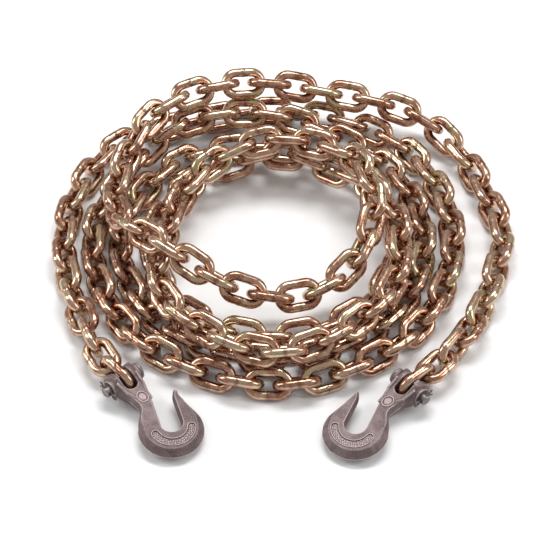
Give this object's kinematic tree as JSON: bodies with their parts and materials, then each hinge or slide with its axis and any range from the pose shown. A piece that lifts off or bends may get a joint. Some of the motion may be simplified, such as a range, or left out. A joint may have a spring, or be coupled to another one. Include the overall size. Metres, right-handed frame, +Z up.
{
  "type": "transport chain for a load binder",
  "caption": "Transport chain of round-wire links in a loose coil, with a forged clevis grab hook pinned to each end, for tying down truck loads.",
  "frame": {"origin": "middle of the underside of the whole coil with its hooks, on the plane it lies on", "axes": "+Z up from the floor, +Y from the hooks to the back of the coil, +X to the right seen from the hooks"},
  "size_m": [0.4915, 0.4966, 0.0866],
  "materials": {
    "chromate_link": "yellow zinc chromate, glossy",
    "forged_hook": "drop forged, heat treated, satin brown",
    "pin_steel": "plain dark steel"
  },
  "bodies": {
    "coil": {"coil_links_9_to_14": "chromate_link", "coil_links_15_to_20": "chromate_link", "coil_links_21_to_26": "chromate_link", "coil_links_27_to_32": "chromate_link", "coil_links_33_to_38": "chromate_link", "coil_links_39_to_44": "chromate_link", "coil_links_45_to_50": "chromate_link", "coil_links_51_to_56": "chromate_link", "coil_links_57_to_62": "chromate_link", "coil_links_63_to_68": "chromate_link", "coil_links_69_to_74": "chromate_link", "coil_links_75_to_80": "chromate_link", "coil_links_81_to_86": "chromate_link", "coil_links_87_to_92": "chromate_link", "coil_links_93_to_98": "chromate_link", "coil_links_99_to_104": "chromate_link", "coil_links_105_to_110": "chromate_link", "coil_links_111_to_116": "chromate_link", "coil_links_117_to_122": "chromate_link", "coil_links_123_to_128": "chromate_link", "coil_links_129_to_134": "chromate_link", "coil_links_135_to_140": "chromate_link", "coil_links_141_to_146": "chromate_link", "coil_links_147_to_152": "chromate_link", "coil_links_153_to_158": "chromate_link", "coil_links_159_to_164": "chromate_link", "coil_links_165_to_170": "chromate_link", "coil_links_171_to_176": "chromate_link", "coil_links_177_to_182": "chromate_link", "coil_links_183_to_188": "chromate_link"},
    "left_link_8": {"left_link_8": "chromate_link"},
    "left_link_7": {"left_link_7": "chromate_link"},
    "left_link_6": {"left_link_6": "chromate_link"},
    "left_link_5": {"left_link_5": "chromate_link"},
    "left_link_4": {"left_link_4": "chromate_link"},
    "left_link_3": {"left_link_3": "chromate_link"},
    "left_link_2": {"left_link_2": "chromate_link"},
    "left_link_1": {"left_link_1": "chromate_link"},
    "right_link_12": {"right_link_12": "chromate_link"},
    "right_link_11": {"right_link_11": "chromate_link"},
    "right_link_10": {"right_link_10": "chromate_link"},
    "right_link_9": {"right_link_9": "chromate_link"},
    "right_link_8": {"right_link_8": "chromate_link"},
    "right_link_7": {"right_link_7": "chromate_link"},
    "right_link_6": {"right_link_6": "chromate_link"},
    "right_link_5": {"right_link_5": "chromate_link"},
    "right_link_4": {"right_link_4": "chromate_link"},
    "right_link_3": {"right_link_3": "chromate_link"},
    "right_link_2": {"right_link_2": "chromate_link"},
    "right_link_1": {"right_link_1": "chromate_link"},
    "left_hook": {"left_hook": "forged_hook"},
    "left_clevis_pin": {"left_clevis_pin": "pin_steel", "left_cotter": "pin_steel"},
    "right_hook": {"right_hook": "forged_hook"},
    "right_clevis_pin": {"right_clevis_pin": "pin_steel", "right_cotter": "pin_steel"}
  },
  "joints": [
    {"name": "left_link_8_bend", "type": "hinge", "parent": "coil", "child": "left_link_8", "pos_m": [-0.23296, 0.05621, 0.01383], "axis": [-0.6907, 0.1049, 0.7155], "range_deg": [-90, 0]},
    {"name": "left_link_7_bend", "type": "hinge", "parent": "left_link_8", "child": "left_link_7", "pos_m": [-0.23252, 0.02649, 0.01383], "axis": [-0.6848, 0.008, -0.7287], "range_deg": [0, 90]},
    {"name": "left_link_6_bend", "type": "hinge", "parent": "left_link_7", "child": "left_link_6", "pos_m": [-0.22828, -0.00293, 0.01404], "axis": [-0.6786, -0.0763, 0.7305], "range_deg": [-90, 0]},
    {"name": "left_link_5_bend", "type": "hinge", "parent": "left_link_6", "child": "left_link_5", "pos_m": [-0.22082, -0.03168, 0.01497], "axis": [-0.6706, -0.1788, -0.72], "range_deg": [-5, 55]},
    {"name": "left_link_4_bend", "type": "hinge", "parent": "left_link_5", "child": "left_link_4", "pos_m": [-0.21127, -0.0598, 0.01579], "axis": [-0.5699, -0.1606, 0.8059], "range_deg": [-60, 5]},
    {"name": "left_link_3_bend", "type": "hinge", "parent": "left_link_4", "child": "left_link_3", "pos_m": [-0.20108, -0.08769, 0.0164], "axis": [-0.8425, -0.3122, -0.439], "range_deg": [-65, 90]},
    {"name": "left_link_2_bend", "type": "hinge", "parent": "left_link_3", "child": "left_link_2", "pos_m": [-0.18985, -0.11518, 0.0168], "axis": [-0.3044, -0.1066, 0.9466], "range_deg": [-45, 10]},
    {"name": "left_link_1_bend", "type": "hinge", "parent": "left_link_2", "child": "left_link_1", "pos_m": [-0.17488, -0.14079, 0.01704], "axis": [0.8642, 0.4797, 0.1518], "range_deg": [-55, 20]},
    {"name": "right_link_12_bend", "type": "hinge", "parent": "coil", "child": "right_link_12", "pos_m": [0.20535, 0.14733, 0.01351], "axis": [0.5513, 0.4698, -0.6894], "range_deg": [-90, 0]},
    {"name": "right_link_11_bend", "type": "hinge", "parent": "right_link_12", "child": "right_link_11", "pos_m": [0.215, 0.11928, 0.01375], "axis": [0.684, 0.2551, 0.6835], "range_deg": [-5, 90]},
    {"name": "right_link_10_bend", "type": "hinge", "parent": "right_link_11", "child": "right_link_10", "pos_m": [0.22288, 0.09076, 0.01383], "axis": [0.6998, 0.2061, -0.6839], "range_deg": [-90, 5]},
    {"name": "right_link_9_bend", "type": "hinge", "parent": "right_link_10", "child": "right_link_9", "pos_m": [0.23197, 0.06249, 0.01383], "axis": [0.6839, 0.2169, 0.6966], "range_deg": [-5, 90]},
    {"name": "right_link_8_bend", "type": "hinge", "parent": "right_link_9", "child": "right_link_8", "pos_m": [0.23315, 0.03271, 0.01383], "axis": [0.6973, 0.0572, -0.7145], "range_deg": [-70, 5]},
    {"name": "right_link_7_bend", "type": "hinge", "parent": "right_link_8", "child": "right_link_7", "pos_m": [0.22454, 0.0041, 0.01383], "axis": [-0.6668, 0.1584, -0.7282], "range_deg": [-90, 10]},
    {"name": "right_link_6_bend", "type": "hinge", "parent": "right_link_7", "child": "right_link_6", "pos_m": [0.21647, -0.02439, 0.01408], "axis": [0.6567, -0.1863, -0.7308], "range_deg": [-90, 5]},
    {"name": "right_link_5_bend", "type": "hinge", "parent": "right_link_6", "child": "right_link_5", "pos_m": [0.20638, -0.05231, 0.01512], "axis": [-0.6617, 0.2065, -0.7208], "range_deg": [-55, 5]},
    {"name": "right_link_4_bend", "type": "hinge", "parent": "right_link_5", "child": "right_link_4", "pos_m": [0.19387, -0.07926, 0.01589], "axis": [-0.531, 0.2597, 0.8066], "range_deg": [-5, 45]},
    {"name": "right_link_3_bend", "type": "hinge", "parent": "right_link_4", "child": "right_link_3", "pos_m": [0.17837, -0.10461, 0.01647], "axis": [0.7805, -0.4446, 0.4395], "range_deg": [-90, 75]},
    {"name": "right_link_2_bend", "type": "hinge", "parent": "right_link_3", "child": "right_link_2", "pos_m": [0.16056, -0.12838, 0.01686], "axis": [-0.2536, 0.1993, 0.9466], "range_deg": [-10, 45]},
    {"name": "right_link_1_bend", "type": "hinge", "parent": "right_link_2", "child": "right_link_1", "pos_m": [0.14018, -0.15001, 0.01705], "axis": [-0.7341, 0.6619, -0.1516], "range_deg": [-65, 75]},
    {"name": "left_hook_swing", "type": "hinge", "parent": "left_link_1", "child": "left_hook", "pos_m": [-0.16141, -0.15372, 0.01704], "axis": [0.7414, 0.6711, 0], "range_deg": [-75, 65]},
    {"name": "left_pin_turn", "type": "hinge", "parent": "left_hook", "child": "left_clevis_pin", "pos_m": [-0.16141, -0.15372, 0.01704], "axis": [0.7414, 0.6711, 0], "continuous": true},
    {"name": "right_hook_swing", "type": "hinge", "parent": "right_link_1", "child": "right_hook", "pos_m": [0.12592, -0.1619, 0.01705], "axis": [-0.6652, 0.7467, 0], "range_deg": [-65, 75]},
    {"name": "right_pin_turn", "type": "hinge", "parent": "right_hook", "child": "right_clevis_pin", "pos_m": [0.12592, -0.1619, 0.01705], "axis": [-0.6652, 0.7467, 0], "continuous": true}
  ]
}
